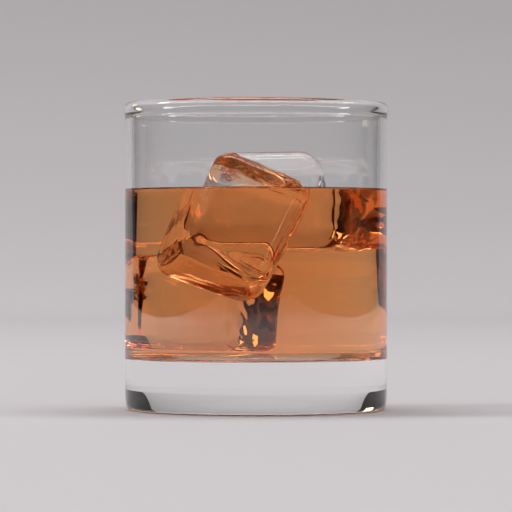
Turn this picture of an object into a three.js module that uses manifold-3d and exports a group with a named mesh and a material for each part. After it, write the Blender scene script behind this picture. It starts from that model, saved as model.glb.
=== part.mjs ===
// Whisky on the rocks in its tumbler.
// A straight-sided glass with a thick solid base holds whisky to about two thirds
// of its height, and two ice cubes stand out of the drink, one in front of the other.
// Millimetres, +Z up, origin at the middle of the glass's underside.

import * as THREE from 'three';
import { mergeVertices } from 'three/addons/utils/BufferGeometryUtils.js';
import Module from 'manifold-3d';

const wasm = await Module();
wasm.setup();

// Tumbler
const outerRadius = 40;
const wallThickness = 2.5;
const glassHeight = 93.2;
const baseThickness = 15.3;
const heelWidth = 1;
const heelHeight = 6;
const floorCornerRadius = 4;
const rimSwell = 0.35;
const rimNeck = 3.2;
const turnSegments = 64;

// Drink
const drinkLevel = 66.4;
const meniscusRise = 0.6;
const meniscusWidth = 1.6;
const clearance = 0.3;

// Ice: size runs across, from front to back, and upright. Each cube is first turned about
// its upright, then leans its top away from the front, and then rolls clockwise as seen
// from the front. Degrees.
const iceFaceSwell = 0.3;
const iceSegments = 12;
const iceCubes = [
  { name: 'ice_front', size: [28.4, 28.5, 35.6], edgeRadius: 5, centre: [-5.4, -13.9, 55.4], turn: 2, lean: 17, roll: 22.5 },
  { name: 'ice_back', size: [34, 26, 29.6], edgeRadius: 6, centre: [4.1, 19.8, 63.2], turn: -10, lean: 4, roll: 0 },
];

const innerRadius = outerRadius - wallThickness;

// Points of an elliptical arc in the lathe's half plane. Angles run in degrees from
// the direction away from the axis.
function arcPoints(centreR, centreZ, radiusR, radiusZ, startAngle, endAngle, steps) {
  const points = [];
  for (let i = 0; i <= steps; i++) {
    const angle = THREE.MathUtils.degToRad(startAngle + ((endAngle - startAngle) * i) / steps);
    points.push(new THREE.Vector2(centreR + radiusR * Math.cos(angle), centreZ + radiusZ * Math.sin(angle)));
  }
  return points;
}

// A body turned about +Z, from a profile that starts and ends on the axis.
function turnedGeometry(profile) {
  const geometry = new THREE.LatheGeometry(profile, turnSegments);
  geometry.rotateX(Math.PI / 2);
  return geometry;
}

// Rounded heel, straight wall, fire-polished rim that swells a little past the wall
// on both sides, and a rounded corner round the inner floor.
function tumblerGeometry() {
  const rimRadius = wallThickness / 2 + rimSwell;
  const rimCentreR = (outerRadius + innerRadius) / 2;
  const rimCentreZ = glassHeight - rimRadius;
  const cornerCentreR = innerRadius - floorCornerRadius;
  const cornerCentreZ = baseThickness + floorCornerRadius;
  return turnedGeometry([
    new THREE.Vector2(0, 0),
    ...arcPoints(outerRadius - heelWidth, heelHeight, heelWidth, heelHeight, -90, 0, 6),
    new THREE.Vector2(outerRadius, rimCentreZ - rimNeck),
    ...arcPoints(rimCentreR, rimCentreZ, rimRadius, rimRadius, 0, 180, 10),
    new THREE.Vector2(innerRadius, rimCentreZ - rimNeck),
    ...arcPoints(cornerCentreR, cornerCentreZ, floorCornerRadius, floorCornerRadius, 0, -90, 6),
    new THREE.Vector2(0, baseThickness),
  ]);
}

// The drink fills the glass up to its level, clear of the wall by the working gap,
// and climbs the wall a little at its edge.
function drinkGeometry() {
  const radius = innerRadius - clearance;
  const floor = baseThickness + clearance;
  const edgeLevel = drinkLevel + meniscusRise;
  return turnedGeometry([
    new THREE.Vector2(0, floor),
    ...arcPoints(radius - floorCornerRadius, floor + floorCornerRadius,
      floorCornerRadius, floorCornerRadius, -90, 0, 6),
    ...arcPoints(radius - meniscusWidth, edgeLevel, meniscusWidth, meniscusRise, 0, -90, 3),
    new THREE.Vector2(0, drinkLevel),
  ]);
}

// Ice block with its edges melted round and its faces swelling slightly towards their
// middle. The lines of each face's grid crowd towards its edges, where the form turns.
function iceGeometry(cube, growth) {
  const half = new THREE.Vector3(...cube.size).multiplyScalar(0.5).addScalar(growth);
  const edgeRadius = cube.edgeRadius + growth;
  const core = half.clone().subScalar(edgeRadius);
  const farCore = core.clone().negate();
  const geometry = new THREE.BoxGeometry(2, 2, 2, iceSegments, iceSegments, iceSegments);
  const position = geometry.attributes.position;
  const axes = ['x', 'y', 'z'];
  const unit = new THREE.Vector3();
  const point = new THREE.Vector3();
  const nearest = new THREE.Vector3();
  for (let i = 0; i < position.count; i++) {
    unit.fromBufferAttribute(position, i);
    for (const axis of axes) point[axis] = half[axis] * Math.sin((unit[axis] * Math.PI) / 2);
    nearest.copy(point).clamp(farCore, core);
    point.sub(nearest).setLength(edgeRadius).add(nearest);
    const [a, b, c] = axes.map((axis) => 1 - unit[axis] ** 2);
    point.x += unit.x * iceFaceSwell * b * c;
    point.y += unit.y * iceFaceSwell * c * a;
    point.z += unit.z * iceFaceSwell * a * b;
    position.setXYZ(i, point.x, point.y, point.z);
  }
  return geometry;
}

function icePlacement(cube) {
  const { degToRad } = THREE.MathUtils;
  return new THREE.Matrix4()
    .makeTranslation(...cube.centre)
    .multiply(new THREE.Matrix4().makeRotationY(degToRad(cube.roll)))
    .multiply(new THREE.Matrix4().makeRotationX(-degToRad(cube.lean)))
    .multiply(new THREE.Matrix4().makeRotationZ(degToRad(cube.turn)));
}

// Closed solid for cutting, from geometry whose shared vertices are merged.
function solidFrom(geometry) {
  const bare = geometry.clone();
  bare.deleteAttribute('normal');
  bare.deleteAttribute('uv');
  const merged = mergeVertices(bare, 1e-4);
  return new wasm.Manifold(new wasm.Mesh({
    numProp: 3,
    vertProperties: new Float32Array(merged.attributes.position.array),
    triVerts: new Uint32Array(merged.index.array),
  }));
}

function geometryFrom(solid) {
  const mesh = solid.getMesh();
  const geometry = new THREE.BufferGeometry();
  geometry.setAttribute('position', new THREE.BufferAttribute(mesh.vertProperties, 3));
  geometry.setIndex(new THREE.BufferAttribute(mesh.triVerts, 1));
  geometry.computeVertexNormals();
  return geometry;
}

// The drink with room in it for every cube that stands out of it.
function drinkRoundIce() {
  let drink = solidFrom(drinkGeometry());
  for (const cube of iceCubes) {
    drink = drink.subtract(solidFrom(iceGeometry(cube, clearance).applyMatrix4(icePlacement(cube))));
  }
  return geometryFrom(drink);
}

const glassMaterial = new THREE.MeshStandardMaterial({
  color: 0xeef0f0, roughness: 0.03, metalness: 0, transparent: true, opacity: 0.3,
});
const whiskyMaterial = new THREE.MeshStandardMaterial({
  color: 0xc8743f, roughness: 0.03, metalness: 0, transparent: true, opacity: 0.8,
});
const iceMaterial = new THREE.MeshStandardMaterial({
  color: 0xe6d8d0, roughness: 0.05, metalness: 0, transparent: true, opacity: 0.5,
});

const group = new THREE.Group();

function addMesh(name, geometry, material) {
  const mesh = new THREE.Mesh(geometry, material);
  mesh.name = name;
  group.add(mesh);
  return mesh;
}

addMesh('tumbler', tumblerGeometry(), glassMaterial);
addMesh('whisky', drinkRoundIce(), whiskyMaterial);
for (const cube of iceCubes) {
  const mesh = addMesh(cube.name, iceGeometry(cube, 0), iceMaterial);
  icePlacement(cube).decompose(mesh.position, mesh.quaternion, mesh.scale);
}

export default group;
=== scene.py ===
# Whisky on the rocks: the looks of the glass, the drink and the ice.
# The glass, the drink and the two cubes that stand out of it are fine smooth meshes of the
# frame's solids. A third cube lies wholly under the surface and has no solid in the frame.
# Metres, +Z up, origin at the middle of the glass's underside.

import math
from collections import namedtuple

import bmesh
import bpy
from mathutils import Matrix, Vector, noise


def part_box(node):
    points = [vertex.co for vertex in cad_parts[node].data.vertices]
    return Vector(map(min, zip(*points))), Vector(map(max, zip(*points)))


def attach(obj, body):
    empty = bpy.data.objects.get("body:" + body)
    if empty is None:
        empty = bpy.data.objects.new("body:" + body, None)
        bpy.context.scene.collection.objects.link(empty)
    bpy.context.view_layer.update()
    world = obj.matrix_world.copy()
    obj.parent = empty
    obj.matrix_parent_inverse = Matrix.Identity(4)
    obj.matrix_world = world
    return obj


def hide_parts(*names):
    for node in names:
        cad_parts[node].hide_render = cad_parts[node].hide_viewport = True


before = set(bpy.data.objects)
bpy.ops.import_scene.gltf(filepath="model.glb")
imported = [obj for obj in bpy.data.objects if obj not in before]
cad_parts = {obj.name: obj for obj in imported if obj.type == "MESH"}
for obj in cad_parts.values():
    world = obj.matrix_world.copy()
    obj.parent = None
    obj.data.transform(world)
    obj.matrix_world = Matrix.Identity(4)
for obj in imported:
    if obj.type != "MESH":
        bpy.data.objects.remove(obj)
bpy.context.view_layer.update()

MM = 0.001

# Tumbler. The rim swells past the wall, so the wall is found from the widest point.
RIM_SWELL = 0.35 * MM
RIM_NECK = 3.2 * MM
WALL = 2.5 * MM
HEEL_WIDTH = 1 * MM
HEEL_HEIGHT = 6 * MM
FLOOR_CORNER = 4 * MM

# Drink. It reaches just into the wall, where the frame's solid keeps a gap to it.
DRINK_GAP = 0.3 * MM
INTO_WALL = 0.15 * MM
MENISCUS_RISE = 0.6 * MM
MENISCUS_WIDTH = 1.6 * MM

# Fineness of the turned bodies. A long straight run has a point at HOLD_MARGIN from each
# end and one every HOLD_STEP.
TURN_SEGMENTS = 256
HEEL_STEPS = 16
NECK_STEPS = 10
RIM_STEPS = 24
CORNER_STEPS = 16
MENISCUS_STEPS = 10
HOLD_MARGIN = 0.12 * MM
HOLD_STEP = 6 * MM
LONG_RUN = 12 * HOLD_MARGIN

# Faces of an ice block, as the axis they lie across and the side they lie on.
LEFT_FACE = (0, -1)
RIGHT_FACE = (0, 1)
TOP_FACE = (2, 1)

# Ice blocks. The size runs across, from front to back, and upright. Each is first turned
# about its upright, then leans its top away from the front, and then rolls clockwise as
# seen from the front, all in degrees. Its melted faces are pitted to the depth given.
Block = namedtuple("Block", "size edge_radius turn lean roll melted pit_size")
FRONT_BLOCK = Block(
    size=(28.4 * MM, 28.5 * MM, 35.6 * MM),
    edge_radius=5 * MM,
    turn=2,
    lean=17,
    roll=22.5,
    melted={TOP_FACE: 0.35 * MM, RIGHT_FACE: 0.3 * MM, LEFT_FACE: 0.15 * MM},
    pit_size=3.2 * MM,
)
BACK_BLOCK = Block(
    size=(34 * MM, 26 * MM, 29.6 * MM),
    edge_radius=6 * MM,
    turn=-10,
    lean=4,
    roll=0,
    melted={RIGHT_FACE: 0.5 * MM, LEFT_FACE: 0.2 * MM},
    pit_size=5 * MM,
)
SUNK_BLOCK = Block(
    size=(26 * MM, 26 * MM, 29 * MM),
    edge_radius=4 * MM,
    turn=-25,
    lean=3,
    roll=3,
    melted={RIGHT_FACE: 1.0 * MM, LEFT_FACE: 0.5 * MM},
    pit_size=10 * MM,
)
SUNK_CENTRE = Vector((-11.0, 16.6, 31.4)) * MM

# Ice surface. Melting sets in at MELT_START of the way from a block's middle to a face. On
# average the pitted surface lies PIT_SINK of its depth under the smooth one.
FACE_GRID = 48
FACE_SWELL = 0.3 * MM
MELT_START = 0.55
PIT_SINK = 0.6
FINE_PIT_SHARE = 0.4
FINE_PIT_SCALE = 2.3

# Clear materials. Ripples are counted to the metre, and their depth is in metres. A tint is
# the colour of the least clear spots.
GLASS_IOR = 1.5
GLASS_TINT = (0.985, 0.995, 0.99, 1)
GLASS_RIPPLES = 40
GLASS_RIPPLE_DEPTH = 0.01 * MM
WHISKY_IOR = 1.36
WHISKY_TINT = (0.99, 0.98, 0.96, 1)
WHISKY_RIPPLES = 60
WHISKY_RIPPLE_DEPTH = 0.005 * MM
WHISKY_COLOUR = (1, 0.56, 0.05, 1)
WHISKY_DENSITY = 32
ICE_IOR = 1.31
ICE_TINT = (0.96, 0.965, 0.97, 1)
ICE_RIPPLES = 220
ICE_RIPPLE_DEPTH = 0.02 * MM
RIPPLE_DETAIL = 3
TINTED_BELOW = 0.35
CLEAR_ABOVE = 0.6

# Stage: a sheet of paper whose floor lies a hair under the glass. It begins to rise at
# SWEEP_START and stands upright at SWEEP_START + SWEEP_RADIUS.
PAPER_GAP = 0.4 * MM
PAPER_FRONT = -2.6
PAPER_HALF_WIDTH = 1.55
PAPER_TOP = 2.2
SWEEP_START = 1.4
SWEEP_RADIUS = 0.55
SWEEP_STEPS = 32
PAPER_COLOUR = (0.62, 0.60, 0.62)
# Painted shade: how far the paper's colour is darkened as it rises, in place of the shade on the sweep:
# height in metres, share of its colour.
PAPER_PAINTED_SHADE = (
    (0.010, 1.0),
    (0.033, 0.955),
    (0.074, 0.895),
    (0.129, 0.845),
    (0.197, 0.80),
    (0.26, 0.76),
)

# Lamps: soft rectangles, in metres and watts, each facing its target. The strips draw the
# light lines of the rim, and the card's yellow shows in the sunk cube.
SKY_WHITE = (1, 0.985, 0.985)
LAMP_WHITE = (1, 0.98, 0.96)
STRIP_WHITE = (1, 0.97, 0.93)
CARD_YELLOW = (1, 0.82, 0.55)
GLASS_MIDDLE = (0, 0, 0.05)
GLASS_RIM = (0, 0, 0.09)
GLASS_BASE = (0, 0, 0.03)
Lamp = namedtuple("Lamp", "name place target width depth power colour")
LAMPS = (
    Lamp("overhead", (0, 0.6, 3.4), (0, 0.6, 0), 3.4, 1.0, 80, SKY_WHITE),
    Lamp("key_left", (-2.2, 0, 0.9), GLASS_MIDDLE, 0.45, 0.45, 24, LAMP_WHITE),
    Lamp("fill_right", (2.2, 0, 0.9), GLASS_MIDDLE, 0.45, 0.45, 8, LAMP_WHITE),
    Lamp("strip_front", (0, -1.5, 0.6), GLASS_RIM, 1.8, 0.12, 5, STRIP_WHITE),
    Lamp("strip_left", (-1.35, -0.8, 0.6), GLASS_RIM, 1.4, 0.12, 4.5, STRIP_WHITE),
    Lamp("strip_right", (1.35, -0.8, 0.6), GLASS_RIM, 1.4, 0.12, 4.5, STRIP_WHITE),
    Lamp("card_left", (-1.45, 1.3, 0.48), GLASS_BASE, 0.3, 0.5, 1.2, CARD_YELLOW),
)
SURROUND_STRENGTH = 0.16

# Camera: level with the middle of the glass, far enough off to flatten its rims.
CAMERA_DISTANCE = 980 * MM
CAMERA_HEIGHT = 46.6 * MM
CAMERA_NEAREST = 10 * MM
LENS_MM = 225.7
SENSOR_MM = 36

# How often light may pass through or glance off the clear bodies.
PASSES = 32
GLANCES = 16
GLANCE_BLUR = 0.5

tumbler_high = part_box("tumbler")[1]
drink_low, drink_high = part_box("whisky")
GLASS_HEIGHT = tumbler_high.z
OUTER_RADIUS = tumbler_high.x - RIM_SWELL
INNER_RADIUS = OUTER_RADIUS - WALL
FLOOR_LEVEL = drink_low.z - DRINK_GAP
DRINK_LEVEL = drink_high.z - MENISCUS_RISE


def middle(node):
    """The middle of a solid's box in the frame."""
    low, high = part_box(node)
    return (low + high) / 2


def eased(share):
    """A share from 0 to 1 that sets out and arrives gently."""
    return share * share * (3 - 2 * share)


def add_object(name, mesh, material):
    """A smooth-shaded object made of a mesh."""
    mesh.polygons.foreach_set("use_smooth", [True] * len(mesh.polygons))
    mesh.materials.append(material)
    piece = bpy.data.objects.new(name, mesh)
    bpy.context.scene.collection.objects.link(piece)
    return piece


def arc(centre_r, centre_z, radius_r, radius_z, start, end, steps):
    """Points of an elliptical arc in the half plane of a turned body, angles in degrees."""
    points = []
    for i in range(steps + 1):
        angle = math.radians(start + (end - start) * i / steps)
        points.append((centre_r + radius_r * math.cos(angle), centre_z + radius_z * math.sin(angle)))
    return points


def held_flat(profile):
    """The profile with more points on its long straight runs, so that they shade flat."""
    held = [profile[0]]
    for (r0, z0), (r1, z1) in zip(profile, profile[1:]):
        length = math.hypot(r1 - r0, z1 - z0)
        if length > LONG_RUN:
            end = HOLD_MARGIN / length
            parts = max(2, int(length / HOLD_STEP))
            shares = [end] + [i / parts for i in range(1, parts)] + [1 - end]
            held += [(r0 + (r1 - r0) * share, z0 + (z1 - z0) * share) for share in shares]
        held.append((r1, z1))
    return held


def turned(name, profile, material):
    """A closed body turned about +Z, from a profile that starts and ends on the axis."""
    rings = held_flat(profile)[1:-1]
    verts = [(0, 0, profile[0][1]), (0, 0, profile[-1][1])]
    for radius, height in rings:
        for i in range(TURN_SEGMENTS):
            angle = 2 * math.pi * i / TURN_SEGMENTS
            verts.append((radius * math.cos(angle), radius * math.sin(angle), height))
    faces = []
    last = 2 + (len(rings) - 1) * TURN_SEGMENTS
    for i in range(TURN_SEGMENTS):
        j = (i + 1) % TURN_SEGMENTS
        faces.append((0, 2 + j, 2 + i))
        faces.append((1, last + i, last + j))
        for k in range(len(rings) - 1):
            a = 2 + k * TURN_SEGMENTS
            b = a + TURN_SEGMENTS
            faces.append((a + i, a + j, b + j, b + i))
    mesh = bpy.data.meshes.new(name)
    mesh.from_pydata(verts, [], faces)
    return add_object(name, mesh, material)


def tumbler_profile():
    """Rounded heel, straight wall, fire-polished rim, and a rounded corner round the floor."""
    rim_radius = WALL / 2 + RIM_SWELL
    rim_r = (OUTER_RADIUS + INNER_RADIUS) / 2
    rim_z = GLASS_HEIGHT - rim_radius
    neck_shares = [i / NECK_STEPS for i in range(NECK_STEPS)]
    neck = [(RIM_SWELL * eased(share), rim_z - RIM_NECK * (1 - share)) for share in neck_shares]
    corner_r = INNER_RADIUS - FLOOR_CORNER
    corner_z = FLOOR_LEVEL + FLOOR_CORNER
    return (
        [(0, 0)]
        + arc(OUTER_RADIUS - HEEL_WIDTH, HEEL_HEIGHT, HEEL_WIDTH, HEEL_HEIGHT, -90, 0, HEEL_STEPS)
        + [(OUTER_RADIUS + swell, height) for swell, height in neck]
        + arc(rim_r, rim_z, rim_radius, rim_radius, 0, 180, RIM_STEPS)
        + [(INNER_RADIUS - swell, height) for swell, height in reversed(neck)]
        + arc(corner_r, corner_z, FLOOR_CORNER, FLOOR_CORNER, 0, -90, CORNER_STEPS)
        + [(0, FLOOR_LEVEL)]
    )


def drink_profile():
    """Fills the glass to its level, reaches just into the wall, and climbs it a little."""
    radius = INNER_RADIUS + INTO_WALL
    corner = FLOOR_CORNER + INTO_WALL
    floor = FLOOR_LEVEL - INTO_WALL
    edge_r = radius - MENISCUS_WIDTH
    edge_z = DRINK_LEVEL + MENISCUS_RISE
    return (
        [(0, floor)]
        + arc(radius - corner, floor + corner, corner, corner, -90, 0, CORNER_STEPS)
        + arc(edge_r, edge_z, MENISCUS_WIDTH, MENISCUS_RISE, 0, -90, MENISCUS_STEPS)
        + [(0, DRINK_LEVEL)]
    )


def melt_depth(unit, melted):
    """How deep melting pits this point of a block: 0 on its smooth faces, and more on its
    melted ones, easing out over their round edges."""
    depth = 0
    for (axis, side), face_depth in melted.items():
        near = (unit[axis] * side - MELT_START) / (1 - MELT_START)
        depth += face_depth * eased(max(0.0, min(1.0, near)))
    return depth


def block_point(unit, block):
    """Where a point of a cube from -1 to 1 comes to lie on the block: on its flat faces, which
    swell a little towards their middle, or on the round edges, and sunk where it is melted."""
    half = Vector(block.size) / 2
    radius = block.edge_radius
    spread = [half[k] * math.sin(unit[k] * math.pi / 2) for k in range(3)]
    nearest = [max(radius - half[k], min(half[k] - radius, spread[k])) for k in range(3)]
    outward = (Vector(spread) - Vector(nearest)).normalized()
    point = Vector(nearest) + outward * radius
    fade = [1 - unit[k] ** 2 for k in range(3)]
    for k in range(3):
        point[k] += unit[k] * FACE_SWELL * fade[(k + 1) % 3] * fade[(k + 2) % 3]
    depth = melt_depth(unit, block.melted)
    if depth:
        pit = noise.noise(point / block.pit_size)
        pit += FINE_PIT_SHARE * noise.noise(point * FINE_PIT_SCALE / block.pit_size)
        point += outward * depth * (pit - PIT_SINK)
    return point


def ice_cube(name, centre, block, material):
    """An ice block with its centre at a point of the frame."""
    cube = bmesh.new()
    bmesh.ops.create_cube(cube, size=2)
    bmesh.ops.subdivide_edges(cube, edges=cube.edges[:], cuts=FACE_GRID - 1, use_grid_fill=True)
    for vert in cube.verts:
        vert.co = block_point(vert.co, block)
    placement = (
        Matrix.Translation(centre)
        @ Matrix.Rotation(math.radians(block.roll), 4, "Y")
        @ Matrix.Rotation(-math.radians(block.lean), 4, "X")
        @ Matrix.Rotation(math.radians(block.turn), 4, "Z")
    )
    cube.transform(placement)
    mesh = bpy.data.meshes.new(name)
    cube.to_mesh(mesh)
    cube.free()
    return add_object(name, mesh, material)


def clear_material(name, ior, tint, ripples, ripple_depth):
    """A clear body whose surface ripples very slightly and whose clearness varies towards a
    faint tint."""
    material = bpy.data.materials.new(name)
    material.use_nodes = True
    tree = material.node_tree
    shader = tree.nodes["Principled BSDF"]
    shader.inputs["Transmission Weight"].default_value = 1
    shader.inputs["Roughness"].default_value = 0
    shader.inputs["IOR"].default_value = ior
    place = tree.nodes.new("ShaderNodeTexCoord")
    ripple = tree.nodes.new("ShaderNodeTexNoise")
    ripple.inputs["Scale"].default_value = ripples
    ripple.inputs["Detail"].default_value = RIPPLE_DETAIL
    bump = tree.nodes.new("ShaderNodeBump")
    bump.inputs["Strength"].default_value = 1
    bump.inputs["Distance"].default_value = ripple_depth
    clearness = tree.nodes.new("ShaderNodeValToRGB")
    tinted, clear = clearness.color_ramp.elements
    tinted.position = TINTED_BELOW
    tinted.color = tint
    clear.position = CLEAR_ABOVE
    clear.color = (1, 1, 1, 1)
    tree.links.new(place.outputs["Object"], ripple.inputs["Vector"])
    tree.links.new(ripple.outputs["Fac"], bump.inputs["Height"])
    tree.links.new(bump.outputs["Normal"], shader.inputs["Normal"])
    tree.links.new(ripple.outputs["Fac"], clearness.inputs["Fac"])
    tree.links.new(clearness.outputs["Color"], shader.inputs["Base Color"])
    return material


def whisky_material():
    """Amber liquid that takes up blue and green light along the way."""
    material = clear_material("amber_whisky", WHISKY_IOR, WHISKY_TINT, WHISKY_RIPPLES, WHISKY_RIPPLE_DEPTH)
    tree = material.node_tree
    volume = tree.nodes.new("ShaderNodeVolumeAbsorption")
    volume.inputs["Color"].default_value = WHISKY_COLOUR
    volume.inputs["Density"].default_value = WHISKY_DENSITY
    tree.links.new(volume.outputs["Volume"], tree.nodes["Material Output"].inputs["Volume"])
    return material


def stage_material():
    """Matt paper with painted shade: its colour darkens gently as it rises behind the glass, in place of
    the shade on the sweep.
    """
    material = bpy.data.materials.new("studio_paper")
    material.use_nodes = True
    tree = material.node_tree
    shader = tree.nodes["Principled BSDF"]
    shader.inputs["Roughness"].default_value = 1
    shader.inputs["Specular IOR Level"].default_value = 0
    place = tree.nodes.new("ShaderNodeTexCoord")
    split = tree.nodes.new("ShaderNodeSeparateXYZ")
    share = tree.nodes.new("ShaderNodeMath")
    share.operation = "DIVIDE"
    # Painted shade: this ramp darkens the paper's colour with height up the sweep.
    fade = tree.nodes.new("ShaderNodeValToRGB")
    top = PAPER_PAINTED_SHADE[-1][0]
    share.inputs[1].default_value = top
    stops = fade.color_ramp.elements
    for _ in range(len(PAPER_PAINTED_SHADE) - len(stops)):
        stops.new(0)
    for stop, (height, level) in zip(stops, PAPER_PAINTED_SHADE):
        stop.position = height / top
        stop.color = [channel * level for channel in PAPER_COLOUR] + [1]
    tree.links.new(place.outputs["Object"], split.inputs["Vector"])
    tree.links.new(split.outputs["Z"], share.inputs[0])
    tree.links.new(share.outputs["Value"], fade.inputs["Fac"])
    tree.links.new(fade.outputs["Color"], shader.inputs["Base Color"])
    return material


def add_stage():
    """A sheet of pale paper: flat under the glass, and swept up behind it."""
    profile = [(PAPER_FRONT, 0)]
    for i in range(SWEEP_STEPS + 1):
        angle = math.pi / 2 * i / SWEEP_STEPS
        rise = SWEEP_RADIUS - SWEEP_RADIUS * math.cos(angle)
        profile.append((SWEEP_START + SWEEP_RADIUS * math.sin(angle), rise))
    profile.append((SWEEP_START + SWEEP_RADIUS, PAPER_TOP))
    verts = []
    for y, z in profile:
        verts += [(-PAPER_HALF_WIDTH, y, z), (PAPER_HALF_WIDTH, y, z)]
    faces = [(2 * i, 2 * i + 1, 2 * i + 3, 2 * i + 2) for i in range(len(profile) - 1)]
    mesh = bpy.data.meshes.new("studio_paper")
    mesh.from_pydata(verts, [], faces)
    paper = add_object("studio_paper", mesh, stage_material())
    paper.location.z = -PAPER_GAP


def add_lamp(lamp):
    """A soft rectangular light that faces its target."""
    light = bpy.data.lights.new(lamp.name, "AREA")
    light.energy = lamp.power
    light.color = lamp.colour
    light.shape = "RECTANGLE"
    light.size = lamp.width
    light.size_y = lamp.depth
    holder = bpy.data.objects.new(lamp.name, light)
    bpy.context.scene.collection.objects.link(holder)
    holder.location = lamp.place
    facing = Vector(lamp.target) - Vector(lamp.place)
    holder.rotation_euler = facing.to_track_quat("-Z", "Y").to_euler()


def add_lights():
    """The lamps, and a faint even light from all round."""
    for lamp in LAMPS:
        add_lamp(lamp)
    world = bpy.data.worlds.new("studio")
    world.use_nodes = True
    world.node_tree.nodes["Background"].inputs["Strength"].default_value = SURROUND_STRENGTH
    bpy.context.scene.world = world


def add_camera():
    """A level camera in front of the glass."""
    data = bpy.data.cameras.new("camera")
    camera = bpy.data.objects.new("camera", data)
    bpy.context.scene.collection.objects.link(camera)
    camera.location = (0, -CAMERA_DISTANCE, CAMERA_HEIGHT)
    camera.rotation_euler = (math.pi / 2, 0, 0)
    data.sensor_width = SENSOR_MM
    data.lens = LENS_MM
    data.clip_start = CAMERA_NEAREST
    bpy.context.scene.camera = camera


def set_quality():
    """Plain colours, and enough passes for light to cross the glass, the drink and the ice."""
    scene = bpy.context.scene
    scene.view_settings.view_transform = "Standard"
    scene.cycles.max_bounces = PASSES
    scene.cycles.transmission_bounces = PASSES
    scene.cycles.glossy_bounces = GLANCES
    scene.cycles.blur_glossy = GLANCE_BLUR


add_camera()
add_stage()
add_lights()
set_quality()

clear_glass = clear_material("clear_glass", GLASS_IOR, GLASS_TINT, GLASS_RIPPLES, GLASS_RIPPLE_DEPTH)
glass = turned("glass_tumbler", tumbler_profile(), clear_glass)
drink = turned("whisky_drink", drink_profile(), whisky_material())
clear_ice = clear_material("clear_ice", ICE_IOR, ICE_TINT, ICE_RIPPLES, ICE_RIPPLE_DEPTH)
front_cube = ice_cube("ice_cube_front", middle("ice_front"), FRONT_BLOCK, clear_ice)
back_cube = ice_cube("ice_cube_back", middle("ice_back"), BACK_BLOCK, clear_ice)
sunk_cube = ice_cube("ice_cube_sunk", SUNK_CENTRE, SUNK_BLOCK, clear_ice)

for piece, slot, node in (
    (glass, "glass", "tumbler"),
    (drink, "whisky", "whisky"),
    (front_cube, "ice", "ice_front"),
    (back_cube, "ice", "ice_back"),
    (sunk_cube, "ice", None),
):
    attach(piece, "root")
    if node:
        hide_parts(node)
